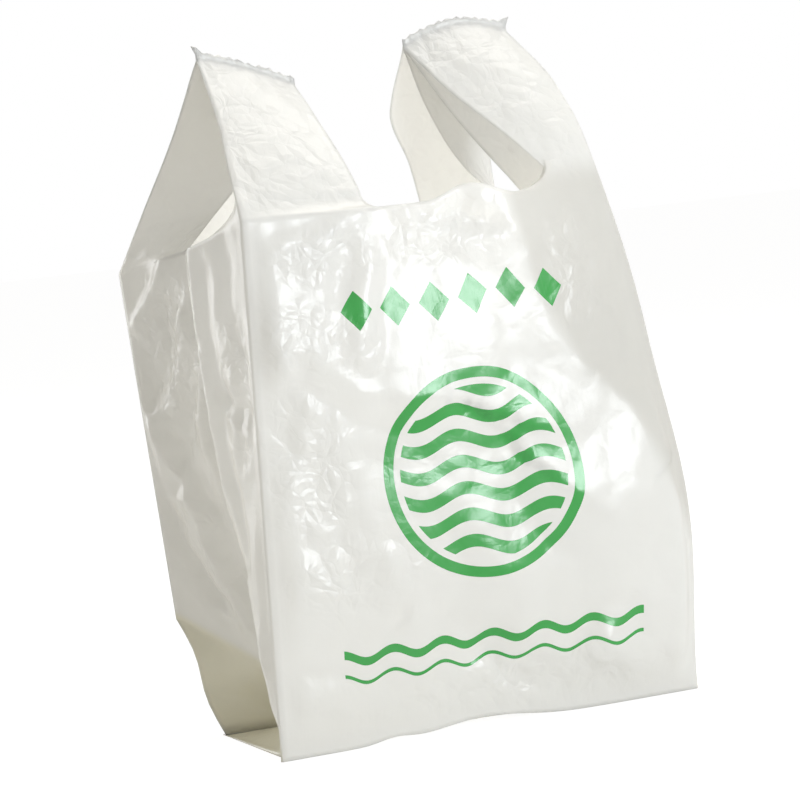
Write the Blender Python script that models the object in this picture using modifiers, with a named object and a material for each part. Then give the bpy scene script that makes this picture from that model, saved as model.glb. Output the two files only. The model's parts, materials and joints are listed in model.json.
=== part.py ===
"""A thin film carrier bag with two loop handles, standing open and empty.

The real bag is one blown tube of film. Its sides are tucked in as gussets, it
is welded flat across the bottom, and a mouth is punched out of the top, which
leaves two handles. Each handle is four layers of film, welded together at its
top end. This script follows that blank: every row of points is one level of
the tube, laid out between the four side creases, the gussets' inner folds and
the punched edges.
"""

import math

import bpy
import numpy as np

# Driving sizes in metres
PANEL_WIDTH = 0.300
GUSSET_DEPTH = 0.180
MOUTH_HEIGHT = 0.350
HANDLE_HEIGHT = 0.105
LEFT_HANDLE_WIDTH = 0.068
RIGHT_HANDLE_WIDTH = 0.078
MOUTH_CORNER = 0.014
BASE_DEPTH = 0.118
BACK_CORNER_HEIGHT = 0.078
BACK_CORNER_INSET = 0.020
LEFT_FRONT_SPREAD = 0.006
LEFT_BACK_SPREAD = 0.013
RIGHT_BACK_SPREAD = 0.006
BACK_SAG = 0.034
GUSSET_SAG = 0.020
SEAM_TUCK = 0.080
TUCK_HEIGHT = 0.035
FOLD_INSET = 0.036
BASE_WAVE = 0.009
SIDE_BULGE = 0.008
MOUTH_RISE = 0.009

# How far each handle's weld lies in from the bag's side, how much lower its
# inner end is, and how far it arches between its ends
LEFT_WELD_INSET = 0.017
LEFT_WELD_DROP = 0.023
LEFT_WELD_ARCH = 0.002
RIGHT_WELD_INSET = 0.056
RIGHT_WELD_DROP = 0.005
RIGHT_WELD_ARCH = 0.009

# The film is drawn thicker than the real 20 microns, so that it is a solid
FILM = 0.0004
LAYER_PITCH = 0.0007
CREASE = 0.0012
WELD_BAND = 0.0065
WELD_LAP = 0.001
WELD_COVER = 0.0002
WELD_STEP = 0.0016

# Depth of the large creases, and how far the film bellies out
PANEL_BELLY = 0.005
STRAP_BELLY = 0.004
CREASE_DEPTH = 0.0050

# How finely the blank is divided
ROWS_BASE = 4
ROWS_BODY = 20
ROWS_CORNER = 3
ROWS_HANDLE = 9
STRAP_COLUMNS = 6
MOUTH_COLUMNS = 7
GUSSET_COLUMNS = 6
WELD_STEPS = 8

FILM_COLOUR = (0.86, 0.86, 0.84, 1.0)
INK_COLOUR = (0.055, 0.39, 0.085, 1.0)

LEFT = -1.0
RIGHT = 1.0
LAYERS = ("front", "front_gusset", "back_gusset", "back")

WELD_INSET = {LEFT: LEFT_WELD_INSET, RIGHT: RIGHT_WELD_INSET}
WELD_DROP = {LEFT: LEFT_WELD_DROP, RIGHT: RIGHT_WELD_DROP}
WELD_ARCH = {LEFT: LEFT_WELD_ARCH, RIGHT: RIGHT_WELD_ARCH}

# How far each side crease spreads past the bag's side at its bottom corner,
# and how late on the way up it leaves it
CORNER_SPREAD = {(LEFT, "front"): LEFT_FRONT_SPREAD, (LEFT, "back"): LEFT_BACK_SPREAD,
                 (RIGHT, "front"): 0.0, (RIGHT, "back"): RIGHT_BACK_SPREAD}
CORNER_POWER = {(LEFT, "front"): 1.0, (LEFT, "back"): 1.0, (RIGHT, "front"): 3.0, (RIGHT, "back"): 2.0}

# Paths up each handle, from the mouth's level (0) to the weld (1), where every
# path ends. A station is the share of the height, a place across the bag, and
# the place between the gusset's front (-0.5) and back (0.5). The place across
# is a share of the weld's inset for a crease, and for an edge it runs from
# the weld's outer end (0) to its inner end (1).
CREASE_PATHS = {
    (LEFT, "front"): [(0.0, 0.29, -0.48), (0.3, 0.53, -0.34), (0.65, 0.90, -0.17)],
    (LEFT, "back"): [(0.0, -1.29, 0.50), (0.3, -0.53, 0.35), (0.65, 0.35, 0.17)],
    (RIGHT, "front"): [(0.0, 0.64, -0.47), (0.3, 0.64, -0.36), (0.65, 0.71, -0.19)],
    (RIGHT, "back"): [(0.0, 0.54, 0.50), (0.3, 0.90, 0.33), (0.6, 1.08, 0.17)],
}
EDGE_PATHS = {
    (LEFT, "front"): [(0.0, 1.13, -0.47), (0.4, 1.08, -0.31), (0.7, 1.04, -0.16)],
    (LEFT, "front_gusset"): [(0.0, -0.31, 0.0), (0.25, 0.43, -0.08), (0.6, 0.84, -0.06)],
    (LEFT, "back_gusset"): [(0.0, -0.31, 0.0), (0.25, 0.19, 0.10), (0.6, 0.66, 0.06)],
    (LEFT, "back"): [(0.0, 0.16, 0.46), (0.35, 0.66, 0.28), (0.7, 0.90, 0.12)],
    (RIGHT, "front"): [(0.0, 0.10, -0.47), (0.35, 0.45, -0.34), (0.7, 0.80, -0.17)],
    (RIGHT, "front_gusset"): [(0.0, -0.15, 0.0), (0.25, 0.32, -0.16), (0.6, 0.68, -0.09)],
    (RIGHT, "back_gusset"): [(0.0, -0.15, 0.0), (0.25, 0.33, 0.13), (0.6, 0.72, 0.07)],
    (RIGHT, "back"): [(0.0, 0.45, 0.46), (0.4, 0.78, 0.26), (0.7, 1.05, 0.12)],
}

# Where the mouth's front edge rises, as a share of the panel's width, and how
# far to each side; and how high up the right side its bulge ends
RISE_CENTRE = 0.61
RISE_REACH = 0.13
BULGE_END = 0.7

# Large creases, as start and end in shares of the panel's width and height,
# half width in the same shares, and depth in parts of CREASE_DEPTH
FRONT_FOLDS = [
    ((0.02, 0.96), (0.30, 0.80), 0.10, 1.0),
    ((0.03, 0.74), (0.34, 0.62), 0.10, 1.2),
    ((0.05, 0.66), (0.24, 0.44), 0.09, -1.1),
    ((0.72, 0.97), (0.96, 0.55), 0.12, -1.3),
    ((0.70, 0.62), (0.98, 0.30), 0.11, 1.1),
    ((0.25, 0.36), (0.92, 0.30), 0.10, -0.8),
    ((0.45, 0.16), (0.58, 0.02), 0.08, -1.2),
    ((0.66, 0.15), (0.74, 0.02), 0.08, 1.3),
    ((0.05, 0.10), (0.35, 0.05), 0.08, 0.8),
    ((0.10, 0.90), (0.14, 0.76), 0.07, -0.9),
    ((0.20, 0.72), (0.30, 0.78), 0.07, 0.9),
    ((0.10, 0.52), (0.20, 0.62), 0.07, 0.9),
    ((0.40, 0.93), (0.64, 0.97), 0.06, -0.8),
    ((0.80, 0.44), (0.90, 0.56), 0.08, -0.8),
]
BACK_FOLDS = [
    ((0.05, 0.95), (0.40, 0.70), 0.12, 1.1),
    ((0.60, 0.92), (0.95, 0.60), 0.12, -1.2),
    ((0.20, 0.50), (0.75, 0.35), 0.12, 1.0),
    ((0.30, 0.18), (0.42, 0.02), 0.10, -1.1),
    ((0.70, 0.28), (0.86, 0.06), 0.09, 1.0),
    ((0.10, 0.60), (0.22, 0.42), 0.08, -0.9),
]
GUSSET_FOLDS = [
    ((0.60, 0.98), (0.15, 0.50), 0.12, 1.4),
    ((0.95, 0.80), (0.45, 0.30), 0.11, -1.2),
    ((0.95, 0.52), (0.70, 0.20), 0.11, 1.2),
    ((0.05, 0.30), (0.60, 0.10), 0.12, -1.1),
    ((0.80, 0.92), (0.95, 0.66), 0.09, 0.9),
    ((0.66, 0.44), (0.92, 0.14), 0.09, -0.9),
]

# Fields of ink on the front, as centre and half size in shares of the panel
INK_BARS = [((0.50, 0.80), (0.30, 0.045)), ((0.50, 0.20), (0.34, 0.030))]
INK_DISC_CENTRE = (0.50, 0.50)
INK_DISC_RADIUS = 0.070


def smooth(t):
    """Ease from 0 to 1 with level ends."""
    t = min(max(t, 0.0), 1.0)
    return t * t * (3.0 - 2.0 * t)


def mix(a, b, t):
    """The value a share t of the way from a to b."""
    return a + (b - a) * t


def along(a, b, steps):
    """Points at even steps from a to b, with both ends."""
    return [mix(a, b, i / steps) for i in range(steps + 1)]


def through(stations, at):
    """Read a path of stations at a share, with a cubic that doesn't overshoot."""
    knots = np.array([s[0] for s in stations])
    values = np.array([s[1:] for s in stations])
    steps = np.diff(knots)[:, None]
    slopes = np.diff(values, axis=0) / steps
    same_way = slopes[:-1] * slopes[1:] > 0
    total = np.where(same_way, slopes[:-1] + slopes[1:], 1.0)
    inner = np.where(same_way, 2 * slopes[:-1] * slopes[1:] / total, 0.0)
    tangents = np.vstack([slopes[:1], inner, slopes[-1:]])
    i = min(max(int(np.searchsorted(knots, at)) - 1, 0), len(knots) - 2)
    h = steps[i]
    t = (at - knots[i]) / h
    return ((2 * t**3 - 3 * t**2 + 1) * values[i] + (t**3 - 2 * t**2 + t) * h * tangents[i]
            + (3 * t**2 - 2 * t**3) * values[i + 1] + (t**3 - t**2) * h * tangents[i + 1])


def side_x(side, inset):
    """X of a place a distance in from the bag's side."""
    return side * (PANEL_WIDTH / 2 - inset)


def seam_y():
    """Depth at which the bottom weld lies."""
    return -GUSSET_DEPTH / 2 + BASE_DEPTH


def half_of(layer):
    """The front or back half of the bag that a layer belongs to."""
    return "front" if layer.startswith("front") else "back"


def stack_place(layer):
    """Place of a layer in a welded stack of four, centred on zero."""
    return (LAYERS.index(layer) - 1.5) * LAYER_PITCH


def handle_top():
    """Height of the handles' welds over the floor, at their outer ends."""
    return MOUTH_HEIGHT + HANDLE_HEIGHT


def edge_inset(side, place):
    """Inset of a place that is a share of the way across a handle's weld."""
    return WELD_INSET[side] + place * handle_width(side)


def handle_width(side):
    """Width of a handle along its weld."""
    return LEFT_HANDLE_WIDTH if side == LEFT else RIGHT_HANDLE_WIDTH


def weld_height(side, inward):
    """Height of a handle's weld, from its outer end (0) to its inner end (1)."""
    return handle_top() - WELD_DROP[side] * inward + WELD_ARCH[side] * math.sin(math.pi * inward)


def crease_pair_shift(side, layer, stacked):
    """Offset of a layer from its crease: a small corner, or one of a stack."""
    if layer in ("front", "back"):
        corner = np.array([-side * CREASE, 0.0, 0.0])
    else:
        corner = np.array([0.0, CREASE if half_of(layer) == "front" else -CREASE, 0.0])
    return mix(corner, np.array([0.0, stack_place(layer), 0.0]), stacked)


def handle_crease(side, layer, share):
    """Point of a handle's side crease on one layer."""
    half = half_of(layer)
    place, depth = through(CREASE_PATHS[(side, half)] + [(1.0, 1.0, 0.0)], share)
    sag = 0.0 if half == "front" else BACK_SAG
    height = mix(MOUTH_HEIGHT - sag, handle_top(), share)
    point = np.array([side_x(side, place * WELD_INSET[side]), depth * GUSSET_DEPTH, height])
    return point + crease_pair_shift(side, layer, smooth(share))


def handle_edge(side, layer, share):
    """Point of a handle's punched edge on one layer."""
    place, depth = through(EDGE_PATHS[(side, layer)] + [(1.0, 1.0, 0.0)], share)
    sag = {"front": 0.0, "back": BACK_SAG}.get(layer, GUSSET_SAG)
    height = mix(MOUTH_HEIGHT - sag, weld_height(side, 1.0), share)
    x = side_x(side, edge_inset(side, place))
    return np.array([x, depth * GUSSET_DEPTH + stack_place(layer) * smooth(share), height])


def corner_share():
    """Share of a handle's height that the mouth's rounded corner takes."""
    return MOUTH_CORNER / HANDLE_HEIGHT


def rounded_corner(start, end, turn):
    """A quarter turn from a level edge at start to an upright one at end."""
    flat = math.sin(turn * math.pi / 2)
    rise = 1.0 - math.cos(turn * math.pi / 2)
    return np.array([mix(start[0], end[0], flat), mix(start[1], end[1], flat), mix(start[2], end[2], rise)])


def body_crease(side, half, level):
    """Point of a side crease on the bag's body, from bottom corner to mouth."""
    top = handle_crease_centre(side, half)
    inset = mix(-CORNER_SPREAD[(side, half)], top[0], level ** CORNER_POWER[(side, half)])
    if side == RIGHT:
        inset -= SIDE_BULGE * math.sin(math.pi * min(level / BULGE_END, 1.0)) ** 2
    front = half == "front"
    bottom_y = -GUSSET_DEPTH / 2 if front else GUSSET_DEPTH / 2 - BACK_CORNER_INSET
    bottom_z = FILM / 2 if front else BACK_CORNER_HEIGHT
    top_z = MOUTH_HEIGHT - (0.0 if front else BACK_SAG)
    return np.array([side_x(side, inset), mix(bottom_y, top[1] * GUSSET_DEPTH, level), mix(bottom_z, top_z, level)])


def handle_crease_centre(side, half):
    """Inset and place in depth of a crease at the mouth's level."""
    place, depth = CREASE_PATHS[(side, half)][0][1:]
    return place * WELD_INSET[side], depth


def gusset_fold(side, level):
    """Point of a gusset's inner fold on the body, from bottom corner to mouth.

    The fold lies deepest at the bottom and eases out on the way up."""
    bottom = np.array([side_x(side, FOLD_INSET), -BACK_CORNER_INSET / 2, TUCK_HEIGHT])
    place, depth = EDGE_PATHS[(side, "front_gusset")][0][1:]
    top = np.array([side_x(side, edge_inset(side, place)), depth * GUSSET_DEPTH, MOUTH_HEIGHT - GUSSET_SAG])
    out = 1.0 - (1.0 - level) ** 2
    return np.array([mix(bottom[0], top[0], out), mix(bottom[1], top[1], level), mix(bottom[2], top[2], level)])


def base_points(side, layer, share):
    """Crease and inner fold of one layer under the bag: weld (0) to corner (1)."""
    place = LAYERS.index(layer)
    seam = np.array([side_x(side, 0.0), seam_y() + place * WELD_STEP, FILM / 2 + place * LAYER_PITCH])
    if half_of(layer) == "front":
        corner = np.array([seam[0], -GUSSET_DEPTH / 2, FILM / 2 + (CREASE if layer == "front_gusset" else 0.0)])
    else:
        corner = body_crease(side, "back", 0.0)
    crease = mix(seam, corner, share)
    wave = np.array([0.0, 0.0 if half_of(layer) == "front" else BASE_WAVE * math.sin(2 * math.pi * share), 0.0])
    if layer == "back_gusset" and share > 0.0:
        slope = corner - seam
        inward = np.array([0.0, -slope[2], slope[1]]) / math.hypot(slope[1], slope[2])
        crease = mix(base_points(side, "back", 0.0)[0], corner, share) + inward * CREASE
    tuck = np.array([side_x(side, SEAM_TUCK), seam[1], seam[2]])
    apart = np.array([0.0, 0.0, CREASE / 2 if layer == "back_gusset" else -CREASE / 2])
    return crease + wave, mix(tuck, gusset_fold(side, 0.0) + apart, share)


def fold_depth(folds, across, up):
    """Sum of the straight creases at a place, each a ridge of even slopes."""
    total = 0.0
    place = np.array([across, up])
    for start, end, half_width, depth in folds:
        start = np.array(start)
        run = np.array(end) - start
        t = min(max(np.dot(place - start, run) / np.dot(run, run), 0.0), 1.0)
        distance = np.linalg.norm(place - start - run * t)
        total += depth * max(0.0, 1.0 - distance / half_width)
    return total * CREASE_DEPTH


def relief(folds, across, up, belly):
    """How far the film stands out of the flat panel at a place."""
    fade = smooth(6.0 * min(across, 1.0 - across)) * smooth(8.0 * up)
    bulge = belly * math.sin(math.pi * across) * math.sin(math.pi * up)
    return bulge + fade * fold_depth(folds, across, up)


def mouth_rise(across, up):
    """How far the front panel is drawn up towards a hump in the mouth's edge."""
    return MOUTH_RISE * smooth(1.0 - abs(across - RISE_CENTRE) / RISE_REACH) * up ** 4


class Blank:
    """Points and faces of the film, gathered row by row."""

    def __init__(self):
        self.points = []
        self.faces = []
        self.inked = []

    def add(self, points):
        """Store points and return their numbers."""
        start = len(self.points)
        self.points.extend(points)
        return list(range(start, start + len(points)))

    def strip(self, lower, upper, inked=()):
        """Join two rows of the same length with quads."""
        for i in range(len(lower) - 1):
            self.faces.append((lower[i], lower[i + 1], upper[i + 1], upper[i]))
            self.inked.append(i in inked)


def panel_shares():
    """Shares across a panel, with the mouth's floor between the two handles."""
    left = (handle_edge(LEFT, "front", 0.0)[0] + MOUTH_CORNER) / PANEL_WIDTH + 0.5
    right = (handle_edge(RIGHT, "front", 0.0)[0] - MOUTH_CORNER) / PANEL_WIDTH + 0.5
    shares = along(0.0, left, STRAP_COLUMNS)
    shares += along(left, right, MOUTH_COLUMNS)[1:]
    return shares + along(right, 1.0, STRAP_COLUMNS)[1:]


def body_row(blank, creases, folds, level, flat=False):
    """One level of the tube: both panels and both gussets."""
    row = {}
    up = max(level, 0.0)
    for layer, out, panel_folds in (("front", -1.0, FRONT_FOLDS), ("back", 1.0, BACK_FOLDS)):
        points = []
        for share in panel_shares():
            point = mix(creases[(LEFT, layer)], creases[(RIGHT, layer)], share)
            if not flat:
                point[1] += out * relief(panel_folds, share, up, PANEL_BELLY)
            if layer == "front":
                point[2] += mouth_rise(share, up)
            points.append(point)
        row[layer] = blank.add(points)
    for side in (LEFT, RIGHT):
        for layer in ("front_gusset", "back_gusset"):
            points = along(creases[(side, layer)], folds[(side, layer)], GUSSET_COLUMNS)
            for i, point in enumerate(points[1:-1], start=1):
                share = 0.5 * i / GUSSET_COLUMNS
                across = share if layer == "front_gusset" else 1.0 - share
                point[0] -= 0.0 if flat else side * relief(GUSSET_FOLDS, across, up, 0.0)
            row[(side, layer)] = blank.add(points)
    return row


def tube_loop(row):
    """A row's numbers once round the tube, from the front's left crease."""
    return (row["front"] + row[(RIGHT, "front_gusset")] + row[(RIGHT, "back_gusset")][::-1]
            + row["back"][::-1] + row[(LEFT, "back_gusset")] + row[(LEFT, "front_gusset")][::-1]
            + row["front"][:1])


def make_base_and_body(blank):
    """The tube from the bottom weld to the mouth's level; returns its top row."""
    rows = []
    for i in range(ROWS_BASE):
        share = i / ROWS_BASE
        ends = {(s, k): base_points(s, k, share) for s in (LEFT, RIGHT) for k in LAYERS}
        rows.append(body_row(blank, {k: v[0] for k, v in ends.items()},
                             {k: v[1] for k, v in ends.items()}, 0.0, flat=True))
    for i in range(ROWS_BODY + 1):
        level = i / ROWS_BODY
        creases = {}
        folds = {}
        for side in (LEFT, RIGHT):
            for layer in LAYERS:
                half = half_of(layer)
                creases[(side, layer)] = body_crease(side, half, level) + crease_pair_shift(side, layer, 0.0)
                apart = np.array([0.0, CREASE / 2 if half == "back" else -CREASE / 2, 0.0])
                folds[(side, layer)] = gusset_fold(side, level) + apart
        rows.append(body_row(blank, creases, folds, level))
    for i, (lower, upper) in enumerate(zip(rows, rows[1:])):
        up = (i - ROWS_BASE + 0.5) / ROWS_BODY
        blank.strip(tube_loop(lower), tube_loop(upper), inked_columns(up))
    return rows[-1]


def inked_columns(up):
    """Columns of the front panel whose faces are printed at this height."""
    shares = panel_shares()
    columns = set()
    for i in range(len(shares) - 1):
        across = (shares[i] + shares[i + 1]) / 2
        disc = math.hypot((across - INK_DISC_CENTRE[0]) * PANEL_WIDTH, (up - INK_DISC_CENTRE[1]) * MOUTH_HEIGHT)
        bar = any(abs(across - c[0]) < h[0] and abs(up - c[1]) < h[1] for c, h in INK_BARS)
        if bar or disc < INK_DISC_RADIUS:
            columns.add(i)
    return columns


def strap_row(blank, side, layer, share, start):
    """One level of one layer of a handle, from its crease to its cut edge."""
    crease = handle_crease(side, layer, share)
    turn = share / corner_share()
    edge = handle_edge(side, layer, share)
    if turn < 1.0 and layer in ("front", "back"):
        edge = rounded_corner(start, handle_edge(side, layer, corner_share()), turn)
    outer = layer in ("front", "back")
    points = along(crease, edge, STRAP_COLUMNS if outer else GUSSET_COLUMNS)
    out = -1.0 if half_of(layer) == "front" else 1.0
    for i, point in enumerate(points):
        inward = i / (len(points) - 1)
        arch = WELD_ARCH[side] * math.sin(math.pi * inward)
        point[2] += arch * smooth(share)
        if outer:
            point[1] += out * STRAP_BELLY * math.sin(math.pi * inward) * math.sin(math.pi * share)
    return blank.add(points)


def handle_bundle(rows, side, half):
    """A level of two layers that share a crease, in the tube's own direction."""
    panel, gusset = rows[half], rows[half + "_gusset"]
    forward = (side == LEFT) == (half == "front")
    return gusset[::-1] + panel if forward else panel[::-1] + gusset


def top_row_layers(top, side):
    """The mouth-level row of one handle, taken from the tube's last row."""
    layers = {layer: top[(side, layer)] for layer in ("front_gusset", "back_gusset")}
    for layer in ("front", "back"):
        panel = top[layer] if side == LEFT else top[layer][::-1]
        layers[layer] = panel[:STRAP_COLUMNS + 1]
    return layers


def make_handle(blank, top, side):
    """A handle's four layers, from the mouth's level to the weld."""
    low = top_row_layers(top, side)
    starts = {layer: blank.points[low[layer][-1]] for layer in LAYERS}
    shares = [corner_share() * (i + 1) / ROWS_CORNER for i in range(ROWS_CORNER)]
    shares += [mix(corner_share(), 1.0, (i + 1) / ROWS_HANDLE) for i in range(ROWS_HANDLE)]
    for share in shares:
        high = {layer: strap_row(blank, side, layer, share, starts[layer]) for layer in LAYERS}
        for half in ("front", "back"):
            blank.strip(handle_bundle(low, side, half), handle_bundle(high, side, half))
        low = high


def new_object(name, points, faces, collection):
    """A mesh object from points and faces."""
    mesh = bpy.data.meshes.new(name)
    mesh.from_pydata([tuple(p) for p in points], [], faces)
    mesh.validate()
    obj = bpy.data.objects.new(name, mesh)
    collection.objects.link(obj)
    return obj


def make_material(name, colour, roughness):
    """A plain Principled material."""
    material = bpy.data.materials.new(name)
    material.use_nodes = True
    shader = material.node_tree.nodes["Principled BSDF"]
    shader.inputs["Base Color"].default_value = colour
    shader.inputs["Roughness"].default_value = roughness
    shader.inputs["Metallic"].default_value = 0.0
    material.diffuse_color = colour
    return material


def add_thickness(obj, thickness):
    """Give an open surface its thickness, half to each side."""
    solid = obj.modifiers.new("Film thickness", "SOLIDIFY")
    solid.thickness = thickness
    solid.offset = 0.0


def ribbon(name, lower, upper, thickness, collection):
    """A closed band between two rows of points, used to weld layers."""
    count = len(lower)
    faces = [(i, i + 1, count + i + 1, count + i) for i in range(count - 1)]
    band = new_object(name, lower + upper, faces, collection)
    add_thickness(band, thickness)
    band.hide_render = True
    band.display_type = "WIRE"
    return band


def handle_weld(side, collection):
    """The band that closes a handle's top end."""
    lower = []
    upper = []
    for i in range(WELD_STEPS + 1):
        inward = i / WELD_STEPS
        overhang = WELD_COVER + FILM / 2
        x = side_x(side, WELD_INSET[side] + mix(-overhang, handle_width(side) + overhang, inward))
        z = weld_height(side, inward) - WELD_LAP
        lower.append(np.array([x, 0.0, z]))
        upper.append(np.array([x, 0.0, z + WELD_BAND]))
    thickness = 3 * LAYER_PITCH + FILM + 2 * WELD_COVER
    return ribbon("handle_weld_%s" % ("left" if side == LEFT else "right"), lower, upper, thickness, collection)


def bottom_weld(collection):
    """The band that closes the bag's bottom, lying back along the floor."""
    low = FILM / 2
    high = FILM + 3 * LAYER_PITCH + WELD_COVER
    half = PANEL_WIDTH / 2 + WELD_COVER
    rows = []
    for y in (seam_y() - WELD_LAP, seam_y() + WELD_BAND - WELD_LAP):
        rows.append(along(np.array([-half, y, (low + high) / 2]), np.array([half, y, (low + high) / 2]), WELD_STEPS))
    return ribbon("bottom_weld", rows[0], rows[1], high - low, collection)


def clear_scene():
    """Remove the objects of the scene this runs in."""
    for obj in list(bpy.data.objects):
        bpy.data.objects.remove(obj, do_unlink=True)


def make_collection(name):
    """A collection linked to the scene."""
    collection = bpy.data.collections.new(name)
    bpy.context.scene.collection.children.link(collection)
    return collection


def make_bag():
    """The whole bag as one solid of film."""
    parts = make_collection("carrier_bag")
    cutters = make_collection("cutters")
    blank = Blank()
    top = make_base_and_body(blank)
    for side in (LEFT, RIGHT):
        make_handle(blank, top, side)
    bag = new_object("bag", blank.points, blank.faces, parts)
    bag.data.materials.append(make_material("film", FILM_COLOUR, 0.35))
    bag.data.materials.append(make_material("ink", INK_COLOUR, 0.4))
    bag.data.polygons.foreach_set("material_index", [int(i) for i in blank.inked])
    bag.data.polygons.foreach_set("use_smooth", [True] * len(blank.faces))
    add_thickness(bag, FILM)
    for weld in (handle_weld(LEFT, cutters), handle_weld(RIGHT, cutters), bottom_weld(cutters)):
        union = bag.modifiers.new(weld.name, "BOOLEAN")
        union.operation = "UNION"
        union.solver = "EXACT"
        union.object = weld
    return bag


def main():
    """Build the bag in an empty scene."""
    clear_scene()
    make_bag()


main()
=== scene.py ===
# %% [markdown]
# A thin carrier bag, standing open and empty on a pale floor.
#
# The bag is one sheet of blown film, folded and welded. The script makes that
# sheet as one fine surface, gives it creases, a translucent film material and
# a printed pattern, and then sets up the floor, the lamps and the camera.

# %% Load the fixed frame
import json
import math

import bpy
import numpy as np
from mathutils import Matrix, Vector

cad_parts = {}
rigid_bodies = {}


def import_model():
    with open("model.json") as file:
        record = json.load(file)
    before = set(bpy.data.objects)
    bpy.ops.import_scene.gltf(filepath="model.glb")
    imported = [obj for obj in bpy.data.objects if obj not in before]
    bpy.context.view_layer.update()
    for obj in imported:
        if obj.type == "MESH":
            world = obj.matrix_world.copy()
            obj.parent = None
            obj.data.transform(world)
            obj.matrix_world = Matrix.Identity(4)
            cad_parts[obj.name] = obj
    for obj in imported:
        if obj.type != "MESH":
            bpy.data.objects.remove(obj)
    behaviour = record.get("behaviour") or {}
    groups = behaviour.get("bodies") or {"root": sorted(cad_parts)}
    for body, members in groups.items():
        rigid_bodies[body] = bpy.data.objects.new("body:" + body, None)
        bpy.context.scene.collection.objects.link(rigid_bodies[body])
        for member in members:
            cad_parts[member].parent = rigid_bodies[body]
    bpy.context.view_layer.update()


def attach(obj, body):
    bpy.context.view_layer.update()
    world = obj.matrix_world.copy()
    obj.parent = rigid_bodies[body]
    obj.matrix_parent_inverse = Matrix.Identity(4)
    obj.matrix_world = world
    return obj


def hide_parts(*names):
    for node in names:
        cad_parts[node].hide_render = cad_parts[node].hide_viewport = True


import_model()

# %% [markdown]
# The sizes come first, as they would on a pattern maker's drawing. They repeat
# the sizes of the solid model, so the two share their folds and outlines. The
# film's creases are its own, and stand up to 17 mm out from the solid's face.

# %% Sizes of the bag in metres
PANEL_WIDTH = 0.300
GUSSET_DEPTH = 0.180
MOUTH_HEIGHT = 0.350
HANDLE_TOP = 0.455
MOUTH_CORNER = 0.014
BASE_DEPTH = 0.118
BACK_CORNER_HEIGHT = 0.078
BACK_CORNER_INSET = 0.020
BACK_SAG = 0.034
GUSSET_SAG = 0.020
SEAM_TUCK = 0.080
TUCK_HEIGHT = 0.035
FOLD_INSET = 0.036
BASE_WAVE = 0.009
SIDE_BULGE = 0.008
PANEL_BELLY = 0.005
STRAP_BELLY = 0.004
MOUTH_RISE = 0.009
FILM = 0.00012
WELD_PITCH = 0.00016
WELD_BAND = 0.0065
LAYER_PITCH = 0.0007
CREASE = 0.0012
LEFT = -1.0
RIGHT = 1.0
LAYERS = ("front", "front_gusset", "back_gusset", "back")
HANDLE_WIDTH = {LEFT: 0.068, RIGHT: 0.078}
WELD_INSET = {LEFT: 0.017, RIGHT: 0.056}
WELD_DROP = {LEFT: 0.023, RIGHT: 0.005}
WELD_ARCH = {LEFT: 0.002, RIGHT: 0.009}
CORNER_SPREAD = {(LEFT, "front"): 0.006, (LEFT, "back"): 0.013, (RIGHT, "front"): 0.0, (RIGHT, "back"): 0.006}
CORNER_POWER = {(LEFT, "front"): 1.0, (LEFT, "back"): 1.0, (RIGHT, "front"): 3.0, (RIGHT, "back"): 2.0}
print("panel", PANEL_WIDTH, "m wide, mouth", MOUTH_HEIGHT, "m up, handles to", HANDLE_TOP, "m")

# %% [markdown]
# Each handle is four layers of film that start apart at the mouth and meet in
# a weld. Every layer has two lines that carry it: its side crease and its cut
# edge. A few stations fix each line, and a smooth cubic is read through them.
# A station is the share of the height, a place across, and the place between
# the gusset's front and back.

# %% Lines that carry the handles
CREASE_PATHS = {
    (LEFT, "front"): [(0.0, 0.29, -0.48), (0.3, 0.53, -0.34), (0.65, 0.90, -0.17)],
    (LEFT, "back"): [(0.0, -1.29, 0.50), (0.3, -0.53, 0.35), (0.65, 0.35, 0.17)],
    (RIGHT, "front"): [(0.0, 0.64, -0.47), (0.3, 0.64, -0.36), (0.65, 0.71, -0.19)],
    (RIGHT, "back"): [(0.0, 0.54, 0.50), (0.3, 0.90, 0.33), (0.6, 1.08, 0.17)],
}
EDGE_PATHS = {
    (LEFT, "front"): [(0.0, 1.13, -0.47), (0.4, 1.08, -0.31), (0.7, 1.04, -0.16)],
    (LEFT, "front_gusset"): [(0.0, -0.31, 0.0), (0.25, 0.43, -0.08), (0.6, 0.84, -0.06)],
    (LEFT, "back_gusset"): [(0.0, -0.31, 0.0), (0.25, 0.19, 0.10), (0.6, 0.66, 0.06)],
    (LEFT, "back"): [(0.0, 0.16, 0.46), (0.35, 0.66, 0.28), (0.7, 0.90, 0.12)],
    (RIGHT, "front"): [(0.0, 0.10, -0.47), (0.35, 0.45, -0.34), (0.7, 0.80, -0.17)],
    (RIGHT, "front_gusset"): [(0.0, -0.15, 0.0), (0.25, 0.32, -0.16), (0.6, 0.68, -0.09)],
    (RIGHT, "back_gusset"): [(0.0, -0.15, 0.0), (0.25, 0.33, 0.13), (0.6, 0.72, 0.07)],
    (RIGHT, "back"): [(0.0, 0.45, 0.46), (0.4, 0.78, 0.26), (0.7, 1.05, 0.12)],
}


def smooth(t):
    """Ease from 0 to 1 with level ends: 3 t squared minus 2 t cubed."""
    t = np.clip(t, 0.0, 1.0)
    return t * t * (3.0 - 2.0 * t)


def mix(a, b, t):
    """The value a share t of the way from a to b."""
    return a + (b - a) * t


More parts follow.
